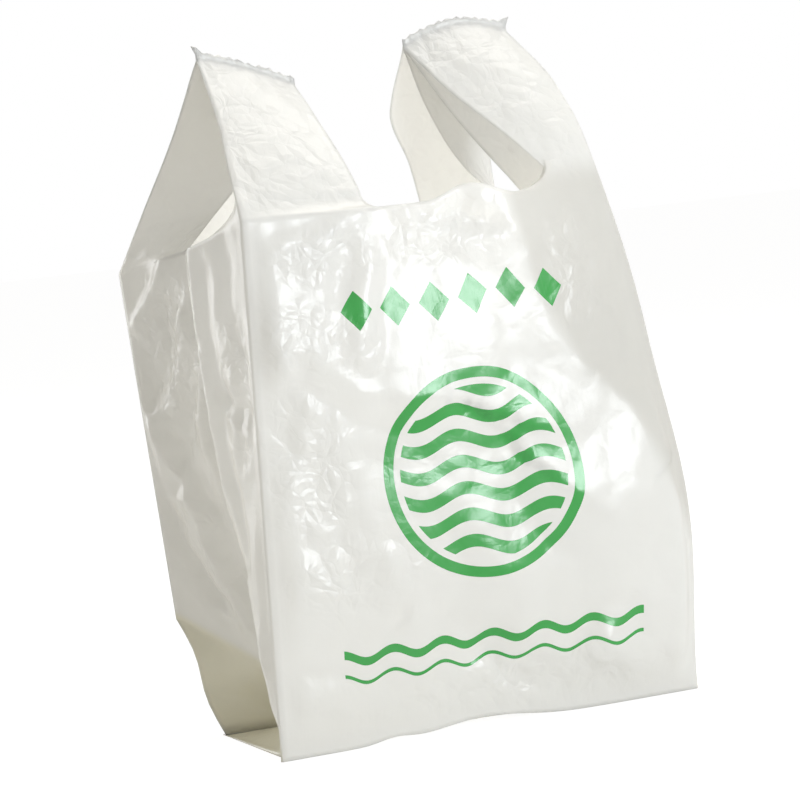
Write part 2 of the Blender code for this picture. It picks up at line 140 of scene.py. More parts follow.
def through(stations, at):
    """Read all shares of a path at once: a cubic between stations whose slope
    at each station is the harmonic mean of the slopes on its two sides."""
    knots = np.array([s[0] for s in stations])
    values = np.array([s[1:] for s in stations])
    steps = np.diff(knots)[:, None]
    slopes = np.diff(values, axis=0) / steps
    same_way = slopes[:-1] * slopes[1:] > 0
    total = np.where(same_way, slopes[:-1] + slopes[1:], 1.0)
    inner = np.where(same_way, 2 * slopes[:-1] * slopes[1:] / total, 0.0)
    tangents = np.vstack([slopes[:1], inner, slopes[-1:]])
    i = np.clip(np.searchsorted(knots, at) - 1, 0, len(knots) - 2)
    h = steps[i]
    t = (at - knots[i])[:, None] / h
    return ((2 * t**3 - 3 * t**2 + 1) * values[i] + (t**3 - 2 * t**2 + t) * h * tangents[i]
            + (3 * t**2 - 2 * t**3) * values[i + 1] + (t**3 - t**2) * h * tangents[i + 1])


def points(x, y, z):
    """One array of points from three arrays that stretch to the same shape."""
    x, y, z = np.broadcast_arrays(x, y, z)
    return np.stack([x, y, z], axis=-1)


print("lines:", len(CREASE_PATHS), "creases and", len(EDGE_PATHS), "cut edges")

# %% [markdown]
# The next functions place those lines in space. They take an array of heights
# or shares and give an array of points, so a whole line is worked out at once.


# %% Side creases and cut edges in space
def side_x(side, inset):
    """X of a place a distance in from the bag's side."""
    return side * (PANEL_WIDTH / 2 - inset)


def edge_inset(side, across):
    """Inset of a place that runs from a weld's outer end (0) to its inner (1)."""
    return WELD_INSET[side] + across * HANDLE_WIDTH[side]


def stack_place(layer):
    """Place of a layer in a welded stack of four, centred on zero."""
    return (LAYERS.index(layer) - 1.5) * LAYER_PITCH


def half_of(layer):
    """The front or back half of the bag that a layer belongs to."""
    return "front" if layer.startswith("front") else "back"


def crease_shift(side, layer, stacked):
    """Offset of a layer from its crease: a small corner low down, a place in
    the welded stack at the top, and a mix of the two between."""
    if layer in ("front", "back"):
        corner = np.array([-side * CREASE, 0.0, 0.0])
    else:
        corner = np.array([0.0, CREASE if half_of(layer) == "front" else -CREASE, 0.0])
    stack = np.array([0.0, stack_place(layer), 0.0])
    return corner + (stack - corner) * np.asarray(stacked)[..., None]


def handle_crease(side, layer, share):
    """Side crease of a handle, from the mouth's level (0) to the weld (1)."""
    half = half_of(layer)
    line = through(CREASE_PATHS[(side, half)] + [(1.0, 1.0, 0.0)], share)
    low = MOUTH_HEIGHT - (0.0 if half == "front" else BACK_SAG)
    x = side_x(side, line[:, 0] * WELD_INSET[side])
    place = points(x, line[:, 1] * GUSSET_DEPTH, mix(low, HANDLE_TOP, share))
    return place + crease_shift(side, layer, smooth(share))


def handle_edge(side, layer, share):
    """Cut edge of a handle's layer, from the mouth's level (0) to the weld (1)."""
    line = through(EDGE_PATHS[(side, layer)] + [(1.0, 1.0, 0.0)], share)
    low = MOUTH_HEIGHT - {"front": 0.0, "back": BACK_SAG}.get(layer, GUSSET_SAG)
    high = HANDLE_TOP - WELD_DROP[side]
    y = line[:, 1] * GUSSET_DEPTH + stack_place(layer) * smooth(share)
    return points(side_x(side, edge_inset(side, line[:, 0])), y, mix(low, high, share))


def body_crease(side, half, level):
    """Side crease of the body, from its bottom corner (0) to the mouth (1)."""
    top_place, top_depth = CREASE_PATHS[(side, half)][0][1:]
    top_inset = top_place * WELD_INSET[side]
    inset = mix(-CORNER_SPREAD[(side, half)], top_inset, level ** CORNER_POWER[(side, half)])
    if side == RIGHT:
        inset = inset - SIDE_BULGE * np.sin(math.pi * np.minimum(level / 0.7, 1.0)) ** 2
    front = half == "front"
    bottom_y = -GUSSET_DEPTH / 2 if front else GUSSET_DEPTH / 2 - BACK_CORNER_INSET
    bottom_z = FILM / 2 if front else BACK_CORNER_HEIGHT
    top_z = MOUTH_HEIGHT - (0.0 if front else BACK_SAG)
    y = mix(bottom_y, top_depth * GUSSET_DEPTH, level)
    return points(side_x(side, inset), y, mix(bottom_z, top_z, level))


def gusset_fold(side, level):
    """Inner fold of a gusset: it leaves the bottom tuck and eases out to the
    mouth, with a share of 1 - (1 - level) squared of the way gone."""
    across, depth = EDGE_PATHS[(side, "front_gusset")][0][1:]
    out = 1.0 - (1.0 - level) ** 2
    x = mix(side_x(side, FOLD_INSET), side_x(side, edge_inset(side, across)), out)
    y = mix(-BACK_CORNER_INSET / 2, depth * GUSSET_DEPTH, level)
    return points(x, y, mix(TUCK_HEIGHT, MOUTH_HEIGHT - GUSSET_SAG, level))


corner_share = MOUTH_CORNER / (HANDLE_TOP - MOUTH_HEIGHT)
print("mouth corner takes", round(corner_share, 3), "of a handle's height")

# %% [markdown]
# Film that has been folded and stood up again is covered in creases. The large
# ones are placed one by one, each as a line with a slope on either side. The
# small ones come from scattered points: halfway between two of them the film
# is creased, which gives the facets of crumpled film. A seeded generator
# scatters them, so that they are the same in every run.

# %% Large creases
FRONT_CREASES = [
    (((0.212, 0.356), (0.214, 0.285), (0.240, 0.226), (0.264, 0.200), (0.304, 0.094)), 0.080, 0.190, 0.0110),
    (((0.214, 0.150), (0.238, 0.128), (0.258, 0.140)), 0.090, 0.040, 0.0080),
    (((0.000, 0.118), (0.085, 0.104), (0.207, 0.102), (0.263, 0.066), (0.302, 0.067)), 0.080, 0.085, 0.0060),
    (((0.010, 0.273), (0.067, 0.161), (0.080, 0.110)), 0.045, 0.024, 0.0044),
    (((-0.020, 0.262), (0.036, 0.260), (0.070, 0.237), (0.120, 0.220)), 0.095, 0.022, 0.0075),
    (((0.181, 0.358), (0.170, 0.337)), 0.016, 0.010, -0.0032),
    (((0.143, 0.340), (0.190, 0.328)), 0.014, 0.010, -0.0034),
    (((0.091, 0.350), (0.045, 0.330), (0.020, 0.327)), 0.012, 0.010, 0.0026),
    (((0.091, 0.348), (0.060, 0.300)), 0.014, 0.012, -0.0030),
    (((0.089, 0.345), (0.078, 0.262)), 0.016, 0.014, 0.0030),
    (((0.142, 0.051), (0.197, 0.008)), 0.026, 0.018, -0.0046),
    (((0.231, 0.046), (0.256, 0.004)), 0.024, 0.020, 0.0052),
    (((0.020, 0.030), (0.100, 0.014)), 0.022, 0.016, 0.0030),
    (((0.100, 0.200), (0.170, 0.075)), 0.040, 0.050, 0.0026),
    (((0.030, 0.225), (0.012, 0.150)), 0.014, 0.012, 0.0026),
]
BACK_CREASES = [
    (((0.015, 0.330), (0.080, 0.270), (0.120, 0.215)), 0.040, 0.024, 0.0074),
    (((0.180, 0.320), (0.285, 0.190)), 0.030, 0.036, -0.0074),
    (((0.040, 0.175), (0.225, 0.112)), 0.034, 0.024, 0.0074),
    (((0.060, 0.230), (0.250, 0.255)), 0.030, 0.020, 0.0050),
    (((0.255, 0.170), (0.215, 0.060)), 0.026, 0.020, 0.0056),
    (((0.090, 0.063), (0.126, 0.007)), 0.028, 0.024, -0.0048),
    (((0.200, 0.090), (0.260, 0.010)), 0.026, 0.030, 0.0050),
    (((0.150, 0.330), (0.140, 0.260)), 0.024, 0.030, 0.0036),
]
GUSSET_CREASES = [
    (((0.093, 0.345), (0.083, 0.298), (0.073, 0.232), (0.066, 0.166), (0.020, 0.071), (0.004, 0.040)),
     0.050, 0.060, -0.0095),
    (((0.093, 0.329), (0.132, 0.277), (0.172, 0.227)), 0.030, 0.016, 0.0062),
    (((0.052, 0.240), (0.004, 0.217)), 0.012, 0.010, 0.0036),
    (((0.060, 0.330), (0.054, 0.200), (0.040, 0.120)), 0.020, 0.014, 0.0040),
    (((0.165, 0.200), (0.128, 0.110), (0.110, 0.030)), 0.026, 0.020, -0.0058),
    (((0.100, 0.260), (0.150, 0.150)), 0.018, 0.014, 0.0040),
    (((0.090, 0.180), (0.070, 0.060)), 0.018, 0.016, -0.0036),
    (((0.172, 0.120), (0.140, 0.050)), 0.014, 0.014, 0.0040),
    (((0.118, 0.343), (0.168, 0.300)), 0.012, 0.012, -0.0030),
]


def nearest(u, v, line):
    """Distance to the nearest part of a line of straight runs, with a sign
    that is positive on its left as one walks along it."""
    best = np.full(u.shape, np.inf)
    signed = np.zeros(u.shape)
    for start, end in zip(line, line[1:]):
        run = np.subtract(end, start)
        t = np.clip(((u - start[0]) * run[0] + (v - start[1]) * run[1]) / np.dot(run, run), 0.0, 1.0)
        away_u, away_v = u - start[0] - run[0] * t, v - start[1] - run[1] * t
        distance = np.sqrt(away_u ** 2 + away_v ** 2 + 2e-7)
        side = np.where(run[0] * away_v - run[1] * away_u >= 0, 1.0, -1.0)
        signed = np.where(distance < best, side * distance, signed)
        best = np.minimum(best, distance)
    return signed


def crease(u, v, line, left, right, height):
    """Height of one crease: full on its line and falling evenly to nothing
    over one width on its left and over another on its right."""
    distance = nearest(u, v, line)
    return height * np.maximum(0.0, 1.0 - np.where(distance > 0, distance / left, -distance / right))


print("large creases:", len(FRONT_CREASES) + len(BACK_CREASES) + len(GUSSET_CREASES))

# %% Crumpled patches
PATCHES = {
    "front": [((0.060, 0.322), (0.050, 0.022), 0.8), ((0.030, 0.270), (0.034, 0.030), 0.6),
              ((0.075, 0.262), (0.020, 0.022), 0.6), ((0.030, 0.190), (0.035, 0.060), 0.8),
              ((0.055, 0.115), (0.050, 0.030), 0.6), ((0.160, 0.330), (0.060, 0.026), 0.7),
              ((0.180, 0.026), (0.110, 0.026), 0.6), ((0.262, 0.290), (0.036, 0.060), 0.4)],
    "back": [((0.130, 0.280), (0.120, 0.070), 1.0), ((0.100, 0.110), (0.090, 0.080), 0.9),
             ((0.245, 0.200), (0.050, 0.110), 0.8)],
    "gusset": [((0.120, 0.260), (0.055, 0.090), 0.8), ((0.030, 0.240), (0.030, 0.060), 0.7),
               ((0.110, 0.090), (0.070, 0.070), 0.6)],
    "strap": [((0.045, 0.020), (0.050, 0.030), 0.6), ((0.045, 0.100), (0.050, 0.022), 0.8)],
}
SEEDS = {"front": 11, "back": 23, LEFT: 37, RIGHT: 41}


def facets(u, v, size, seed):
    """Facets of crumpled film: for points scattered one to a square, the
    distance to the second nearest less the distance to the nearest."""
    random = np.random.default_rng(seed)
    columns, rows = int(np.ptp(u) / size) + 3, int(np.ptp(v) / size) + 3
    squares = np.stack(np.meshgrid(np.arange(columns), np.arange(rows)), axis=-1).reshape(-1, 2)
    spots = (squares - 1.0 + random.uniform(0.0, 1.0, squares.shape)) * size + [u.min(), v.min()]
    distance = np.hypot(u[..., None] - spots[:, 0], v[..., None] - spots[:, 1])
    near = np.partition(distance, 1, axis=-1)
    return near[..., 1] - near[..., 0]


def patch_mask(u, v, patches):
    """How crumpled the film is: full inside some ovals, nothing outside."""
    mask = np.zeros(u.shape)
    for centre, radii, strength in patches:
        reach = np.hypot((u - centre[0]) / radii[0], (v - centre[1]) / radii[1])
        mask = np.maximum(mask, strength * smooth(1.6 - 1.3 * reach))
    return mask


def film_relief(u, v, creases, patches, seed):
    """All the creases of one face of the bag at places in metres. The places
    are shaken a little first, so that no crease is quite straight."""
    bent_u = u + 0.0030 * np.sin(v * 61.0 + seed) + 0.0012 * np.sin(v * 173.0 + u * 90.0)
    bent_v = v + 0.0030 * np.sin(u * 57.0 + seed * 2.0) + 0.0012 * np.sin(u * 190.0 - v * 80.0)
    height = sum((crease(bent_u, bent_v, *each) for each in creases), np.zeros(u.shape))
    mask = patch_mask(u, v, patches)
    height += 0.034 * facets(bent_u, bent_v * 0.8, 0.062, seed)
    height += (0.016 + 0.075 * mask) * facets(bent_u, bent_v, 0.021, seed + 1)
    height += 0.080 * mask * facets(bent_u, bent_v, 0.010, seed + 2)
    return height


print("crumpled patches:", sum(len(p) for p in PATCHES.values()))

# %% [markdown]
# The body is one tube. Each row of the grid is a level of the tube, and its
# columns run round the bag: front, right gusset, back, left gusset. The whole
# grid is one array. A panel's points lie on straight lines between its two
# creases, and the relief then pushes them out or in.

# %% The grid's divisions
STRAP_COLUMNS = 26
MOUTH_COLUMNS = 36
GUSSET_COLUMNS = 28
BASE_ROWS = 8
BODY_ROWS = 112
HANDLE_ROWS = 38
CORNER_ROWS = 5
BEND_ROUNDS = 90


def panel_shares():
    """Shares across a panel, closer together where the handles stand."""
    left = (handle_edge(LEFT, "front", np.zeros(1))[0, 0] + MOUTH_CORNER) / PANEL_WIDTH + 0.5
    right = (handle_edge(RIGHT, "front", np.zeros(1))[0, 0] - MOUTH_CORNER) / PANEL_WIDTH + 0.5
    return np.concatenate([np.linspace(0.0, left, STRAP_COLUMNS + 1),
                           np.linspace(left, right, MOUTH_COLUMNS + 1)[1:],
                           np.linspace(right, 1.0, STRAP_COLUMNS + 1)[1:]])


SHARES = panel_shares()
print("columns round the bag:", 2 * (len(SHARES) - 1) + 4 * GUSSET_COLUMNS)


# %% The body's faces
def spread(start, end, shares):
    """A grid of points: each row runs straight from start to end."""
    return start[:, None, :] + (end - start)[:, None, :] * shares[None, :, None]


def panel_grid(half, level):
    """A front or back panel: straight rows plus a belly of sine times sine,
    plus the creases, which fade out towards the panel's borders."""
    left = body_crease(LEFT, half, level) + crease_shift(LEFT, half, np.zeros_like(level))
    right = body_crease(RIGHT, half, level) + crease_shift(RIGHT, half, np.zeros_like(level))
    grid = spread(left, right, SHARES)
    u, v = np.broadcast_arrays(SHARES[None, :] * PANEL_WIDTH, level[:, None] * MOUTH_HEIGHT)
    creases = FRONT_CREASES if half == "front" else BACK_CREASES
    belly = PANEL_BELLY * np.sin(math.pi * SHARES[None, :]) * np.sin(math.pi * level[:, None])
    fade = smooth(18.0 * np.minimum(SHARES, 1.0 - SHARES))[None, :] * smooth(9.0 * level)[:, None]
    if half == "front":
        grid[..., 2] += MOUTH_RISE * smooth(1.0 - np.abs(SHARES - 0.61) / 0.13)[None, :] * level[:, None] ** 4
    out = -1.0 if half == "front" else 1.0
    relief = film_relief(u, v, creases, PATCHES[half], SEEDS[half])
    grid[..., 1] += out * (belly + fade * relief)
    return grid


def gusset_grid(side, layer, level):
    """Half a gusset, from its crease to the inner fold, with its creases."""
    half = half_of(layer)
    crease = body_crease(side, half, level) + crease_shift(side, layer, np.zeros_like(level))
    fold = gusset_fold(side, level) + np.array([0.0, CREASE / 2 if half == "back" else -CREASE / 2, 0.0])
    shares = np.linspace(0.0, 1.0, GUSSET_COLUMNS + 1)
    grid = spread(crease, fold, shares)
    across = 0.5 * shares if half == "front" else 1.0 - 0.5 * shares
    u, v = np.broadcast_arrays(across[None, :] * GUSSET_DEPTH, level[:, None] * MOUTH_HEIGHT)
    fade = smooth(11.0 * np.minimum(across, 1.0 - across))[None, :] * smooth(9.0 * level)[:, None]
    fade = fade * smooth(8.0 * np.abs(across - 0.5) + 0.15)[None, :]
    grid[..., 0] -= side * fade * film_relief(u, v, GUSSET_CREASES, PATCHES["gusset"], SEEDS[side])
    return grid


def base_lines(side, layer, share):
    """Crease and tuck of one layer under the bag, from weld (0) to corner (1)."""
    place = LAYERS.index(layer)
    weld_y = -GUSSET_DEPTH / 2 + BASE_DEPTH
    seam = np.array([side_x(side, 0.0), weld_y, FILM / 2 + place * WELD_PITCH])
    if half_of(layer) == "front":
        lift = CREASE if layer == "front_gusset" else 0.0
        corner = np.array([seam[0], -GUSSET_DEPTH / 2, FILM / 2 + lift])
        crease = seam + (corner - seam) * share[:, None]
    else:
        corner = body_crease(side, "back", np.zeros(1))[0]
        start = seam
        if layer == "back_gusset":
            start = base_lines(side, "back", np.zeros(1))[0][0]
            slope = corner - seam
            inward = np.array([0.0, -slope[2], slope[1]]) / math.hypot(slope[1], slope[2])
            start = start + inward * CREASE
            corner = corner + inward * CREASE
        crease = start + (corner - start) * share[:, None]
        crease[0] = seam
        crease[:, 1] += BASE_WAVE * np.sin(2 * math.pi * share)
    tuck = np.array([side_x(side, SEAM_TUCK), seam[1], seam[2]])
    apart = np.array([0.0, 0.0, CREASE / 2 if layer == "back_gusset" else -CREASE / 2])
    fold = gusset_fold(side, np.zeros(1))[0] + apart
    return crease, tuck + (fold - tuck) * share[:, None]


def base_grid(layer, side, share):
    """A panel's or half gusset's part that lies under the bag."""
    if layer in ("front", "back"):
        return spread(base_lines(LEFT, layer, share)[0], base_lines(RIGHT, layer, share)[0], SHARES)
    crease, fold = base_lines(side, layer, share)
    return spread(crease, fold, np.linspace(0.0, 1.0, GUSSET_COLUMNS + 1))


level = np.linspace(0.0, 1.0, BODY_ROWS + 1)
under = np.linspace(0.0, 1.0, BASE_ROWS + 1)[:-1]
body = {"front": panel_grid("front", level), "back": panel_grid("back", level)}
base = {"front": base_grid("front", None, under), "back": base_grid("back", None, under)}
for side in (LEFT, RIGHT):
    for layer in ("front_gusset", "back_gusset"):
        body[(side, layer)] = gusset_grid(side, layer, level)
        base[(side, layer)] = base_grid(layer, side, under)
print("rows up the body:", len(level), "and under it:", len(under))

# %% [markdown]
# The handles carry on from the tube's top row. Two layers share each crease,
# so they are made as one strip: the front panel's strap with the front half
# of the gusset, and the same at the back.


# %% The handles' layers
def strap_grid(side, layer, share):
    """One layer of a handle: rows from its crease to its cut edge, with a
    rounded corner at the mouth, an arch along the weld and small creases."""
    crease = handle_crease(side, layer, share)
    edge = handle_edge(side, layer, share)
    outer = layer in ("front", "back")
    if outer:
        panel = body[layer][-1]
        start = panel[STRAP_COLUMNS] if side == LEFT else panel[-1 - STRAP_COLUMNS]
        end = handle_edge(side, layer, np.array([corner_share]))[0]
        turn = np.clip(share / corner_share, 0.0, 1.0) * math.pi / 2
        bend = np.stack([np.sin(turn), np.sin(turn), 1.0 - np.cos(turn)], axis=-1)
        edge = np.where((share < corner_share)[:, None], start + (end - start) * bend, edge)
    inward = np.linspace(0.0, 1.0, (STRAP_COLUMNS if outer else GUSSET_COLUMNS) + 1)
    grid = spread(crease, edge, inward)
    grid[..., 2] += WELD_ARCH[side] * np.sin(math.pi * inward)[None, :] * smooth(share)[:, None]
    out = -1.0 if half_of(layer) == "front" else 1.0
    if outer:
        belly = STRAP_BELLY * np.sin(math.pi * inward)[None, :] * np.sin(math.pi * share)[:, None]
        grid[..., 1] += out * belly
    u, v = np.broadcast_arrays(inward[None, :] * 0.09, share[:, None] * 0.106)
    small = film_relief(u, v, [], PATCHES["strap"], 60 + int(side) * 7 + (0 if out < 0 else 3))
    fade = smooth(5.0 * share)[:, None] * smooth(4.0 * (1.0 - share))[:, None] * smooth(5.0 * inward)[None, :]
    grid[..., 1] += out * 0.8 * fade * small
    pleats = 0.0005 * np.sin(grid[..., 0] * 1300.0 + 2.0 * np.sin(grid[..., 0] * 310.0))
    grid[..., 1] += pleats * smooth(6.0 * share - 4.6)[:, None]
    return grid


def weld_rows(side, grid, layer):
    """The flat band above a handle's weld. Its rows are the last row moved up,
    with the four layers pressed together and the top edge left ragged."""
    last = grid[-1]
    inward = np.linspace(0.0, 1.0, last.shape[0])
    rows = []
    for rise in (0.35, 0.7, 1.0):
        row = last.copy()
        row[:, 1] = LAYERS.index(layer) * WELD_PITCH + 0.0004 * np.sin(row[:, 0] * 700.0)
        ragged = 0.0009 * np.sin(row[:, 0] * 900.0) + 0.0006 * np.sin(row[:, 0] * 2300.0 + 1.0)
        corner = 0.0045 * np.exp(-(inward / 0.05) ** 2)
        row[:, 2] += rise * (WELD_BAND - 0.001) + (ragged + corner) * (rise == 1.0)
        row[:, 0] += side * 0.6 * corner * (rise == 1.0)
        rows.append(row)
    return np.concatenate([grid, np.array(rows)])


def ease_bend(low, high, rounds):
    """Soften the bend where a handle leaves the body: each row moves towards
    the mean of its neighbours, many times over, near the mouth and away from
    the cut edge."""
    both = np.concatenate([low, high])
    near_mouth = np.exp(-((both[..., 2] - MOUTH_HEIGHT) / 0.030) ** 2)
    held = smooth(1.6 * (1.0 - np.linspace(0.0, 1.0, both.shape[1])))[None, :]
    weight = (0.5 * near_mouth * held)[1:-1, :, None]
    for _ in range(rounds):
        both[1:-1] += weight * (0.5 * (both[:-2] + both[2:]) - both[1:-1])
    low[...] = both[:len(low)]
    high[...] = both[len(low):]


above_corner = np.linspace(0, 1, HANDLE_ROWS - CORNER_ROWS + 1)[1:]
in_corner = np.linspace(0.0, corner_share, CORNER_ROWS + 1)[1:]
share = np.concatenate([in_corner, mix(corner_share, 1.0, above_corner)])
straps = {(side, layer): strap_grid(side, layer, share) for side in (LEFT, RIGHT) for layer in LAYERS}
for layer in LAYERS:
    if layer in ("front", "back"):
        low = body[layer][:, ::-1][:, :STRAP_COLUMNS + 1]
    else:
        low = body[(RIGHT, layer)]
    ease_bend(low, straps[(RIGHT, layer)], BEND_ROUNDS)
for (side, layer), grid in straps.items():
    straps[(side, layer)] = weld_rows(side, grid, layer)
share = np.concatenate([share, [1.02, 1.04, 1.06]])
print("rows up a handle:", len(share))

# %% The tube with its bottom weld
tail = BASE_DEPTH + WELD_BAND * np.array([0.85, 0.55, 0.25])


def tail_rows(grid, place):
    """The bottom weld's flap: rows of one layer that lie flat behind the seam,
    pressed together with the others."""
    rows = np.repeat(grid[:1], len(tail), axis=0)
    rows[..., 1] = (tail - GUSSET_DEPTH / 2)[:, None]
    rows[..., 2] = FILM / 2 + place * WELD_PITCH
    return np.concatenate([rows, grid])


def lifted(grid):
    """Raise the film a little where its front bottom edge stands off the floor."""
    x, y, z = grid[..., 0], grid[..., 1], grid[..., 2]
    reach = smooth(1.0 - (y + GUSSET_DEPTH / 2) / 0.030) * smooth(1.0 - z / 0.050)
    hump = 0.0065 * np.exp(-((x + 0.010) / 0.042) ** 2) + 0.003 * np.exp(-((x + 0.075) / 0.015) ** 2)
    grid[..., 2] += reach * hump
    return grid


tube = {}
for key in body:
    layer = key if isinstance(key, str) else key[1]
    tube[key] = lifted(tail_rows(np.concatenate([base[key], body[key]]), LAYERS.index(layer)))
print("rows up the tube:", len(tube["front"]))

# %% [markdown]
# Now the arrays become one mesh. Points that two pieces share are given the
# same number, so the film has no seams where there are none on the real bag.
# Each point also keeps its place on the flat sheet, which the print will use.


# %% Where shade is painted on the film, and where it wrinkles
def painted_shade(u, v):
    """Painted shade, as a share from 0 to 1: greyer film beyond the broad ridge on
    the front panel, where the tucked gusset lies behind it, a little below the
    short crease that branches from it, and on the shaded back half of the left gusset."""
    ridge, branch = FRONT_CREASES[0][0], FRONT_CREASES[1][0]
    right = smooth(0.5 + nearest(u, v, ridge) / 0.016) * smooth((u - 0.16) / 0.05)
    low = smooth(0.5 - nearest(u, v, branch) / 0.014) * (v > -0.02)
    front = np.maximum(right, 0.10 * low) * (u < 0.5)
    gusset = 0.7 * smooth((u - 1.070) / 0.012) * (u < 1.5)
    return np.maximum(front, gusset) * smooth(1.0 - (v - MOUTH_HEIGHT) / 0.020)


def stacked(u, v):
    """Painted olive shade where the film lies in many layers: under the bag and at the gussets' foot."""
    gusset = smooth((0.012 - v) / 0.010) * (((u > 0.9) & (u < 1.5)) | (u > 2.9)) * (u < 4.0)
    return np.maximum(gusset, smooth((-0.004 - v) / 0.004) * (u < 0.5))


def crumpled(u, v):
    """How crumpled the film is at places on the flat sheet."""
    mask = np.full(u.shape, 0.10)
    for start, name in ((0.0, "front"), (1.0, "gusset"), (2.0, "back"), (3.0, "gusset")):
        here = (u > start - 0.4) * (u < start + 0.5) * (v < MOUTH_HEIGHT)
        mask = np.maximum(mask, patch_mask(u - start, v, PATCHES[name]) * here)
    return np.maximum(mask, 0.5 * smooth((v - MOUTH_HEIGHT) / 0.010) * (u < 4.0))


# %% Number the points and join them with faces
class Film:
    """Collects grids of points and the faces between them."""

    def __init__(self):
        self.places = []
        self.flat = []
        self.count = 0
        self.quads = []

    def add(self, grid, flat):
        """Store a grid of points and their flat places; return their numbers."""
        rows, columns = grid.shape[:2]
        numbers = np.arange(self.count, self.count + rows * columns).reshape(rows, columns)
        self.places.append(grid.reshape(-1, 3))
        self.flat.append(flat.reshape(-1, 2))
        self.count += rows * columns
        return numbers

    def join(self, numbers):
        """Add a quad for every cell of a grid of numbers."""
        cells = [numbers[:-1, :-1], numbers[:-1, 1:], numbers[1:, 1:], numbers[1:, :-1]]
        self.quads.append(np.stack(cells, axis=-1).reshape(-1, 4))


def flat_places(columns, rows, start, width):
    """Places on the flat sheet: width across a face, and height up it."""
    across, up = np.broadcast_arrays(start + columns[None, :] * width, rows[:, None])
    return np.stack([across, up], axis=-1)


film = Film()
heights = np.concatenate([-tail, (under - 1.0) * BASE_DEPTH, level * MOUTH_HEIGHT])
half_columns = np.linspace(0.0, 1.0, GUSSET_COLUMNS + 1)
numbers = {"front": film.add(tube["front"], flat_places(SHARES, heights, 0.0, PANEL_WIDTH)),
           "back": film.add(tube["back"], flat_places(SHARES, heights, 2.0, PANEL_WIDTH))}
for side in (LEFT, RIGHT):
    for layer in ("front_gusset", "back_gusset"):
        shift = 1.0 if side == LEFT else 3.0
        columns = half_columns if layer == "front_gusset" else 2.0 - half_columns
        places = flat_places(columns, heights, shift, GUSSET_DEPTH / 2)
        numbers[(side, layer)] = film.add(tube[(side, layer)], places)
loop = [numbers["front"], numbers[(RIGHT, "front_gusset")], numbers[(RIGHT, "back_gusset")][:, ::-1],
        numbers["back"][:, ::-1], numbers[(LEFT, "back_gusset")], numbers[(LEFT, "front_gusset")][:, ::-1],
        numbers["front"][:, :1]]
film.join(np.concatenate(loop, axis=1))
for side in (LEFT, RIGHT):
    low = {}
    for layer in LAYERS:
        if layer in ("front", "back"):
            row = numbers[layer][-1] if side == LEFT else numbers[layer][-1][::-1]
            low[layer] = row[:STRAP_COLUMNS + 1]
            across = SHARES if side == LEFT else SHARES[::-1]
            columns = across[:STRAP_COLUMNS + 1]
            start, width = (0.0 if layer == "front" else 2.0), PANEL_WIDTH
        else:
            low[layer] = numbers[(side, layer)][-1]
            columns = half_columns if layer == "front_gusset" else 2.0 - half_columns
            start, width = (1.0 if side == LEFT else 3.0), GUSSET_DEPTH / 2
        places = flat_places(columns, MOUTH_HEIGHT + share * (HANDLE_TOP - MOUTH_HEIGHT), start, width)
        high = film.add(straps[(side, layer)], places)
        numbers[(side, layer, "strap")] = np.concatenate([low[layer][None, :], high])
    for half in ("front", "back"):
        panel = numbers[(side, half, "strap")]
        tuck = numbers[(side, half + "_gusset", "strap")]
        forward = (side == LEFT) == (half == "front")
        strip = [tuck[:, ::-1], panel] if forward else [panel[:, ::-1], tuck]
        film.join(np.concatenate(strip, axis=1))
place = np.concatenate(film.places)
flat = np.concatenate(film.flat)
quads = np.concatenate(film.quads)
print("film:", len(place), "points and", len(quads), "quads")


# %% Make the mesh
FACE_GAP = 0.3
NO_FACE = 5.0


def mesh_object(name, place, quads, flat=None):
    """A mesh object from arrays of points and quads, with an optional UV map
    that holds each point's place on the flat sheet in metres. A quad that
    joins two faces at a fold is put where no face is, so it takes no ink."""
    mesh = bpy.data.meshes.new(name)
    mesh.vertices.add(len(place))
    mesh.vertices.foreach_set("co", place.astype(np.float32).ravel())
    mesh.loops.add(quads.size)
    mesh.loops.foreach_set("vertex_index", quads.astype(np.int32).ravel())
    mesh.polygons.add(len(quads))
    mesh.polygons.foreach_set("loop_start", np.arange(0, quads.size, 4, dtype=np.int32))
    mesh.update(calc_edges=True)
    if flat is not None:
        layer = mesh.uv_layers.new(name="flat_sheet")
        corners = flat[quads]
        folded = np.ptp(corners[..., 0], axis=1) > FACE_GAP
        corners[folded, :, 0] = NO_FACE
        layer.data.foreach_set("uv", corners.astype(np.float32).ravel())
        # The first two attributes hold painted shade for the film's colour; the third holds where the film
        # wrinkles.
        for label, values in (("painted_shade", painted_shade), ("stacked", stacked), ("crumpled", crumpled)):
            stored = values(flat[:, 0], flat[:, 1]).astype(np.float32)
            mesh.attributes.new(label, "FLOAT", "POINT").data.foreach_set("value", stored)
    mesh.validate()
    mesh.shade_smooth()
    made = bpy.data.objects.new(name, mesh)
    bpy.context.scene.collection.objects.link(made)
    return made


bag = mesh_object("film_bag", place, quads, flat)
edges_a, edges_b = place[quads[:, 0]] - place[quads[:, 2]], place[quads[:, 1]] - place[quads[:, 3]]
film_area = 0.5 * np.linalg.norm(np.cross(edges_a, edges_b), axis=1).sum()
print("area of film:", round(float(film_area), 3), "square metres")

# %% [markdown]
# A surface has no thickness. Solidify gives the film a second face, so that
# the model is a closed body, as real film is, and seams stay shut.

# %% Thickness of the film
solid = bag.modifiers.new("Film thickness", "SOLIDIFY")
solid.thickness = FILM
solid.offset = 0.0
solid.material_offset = 1
print("film thickness in the model:", FILM * 1000, "mm")
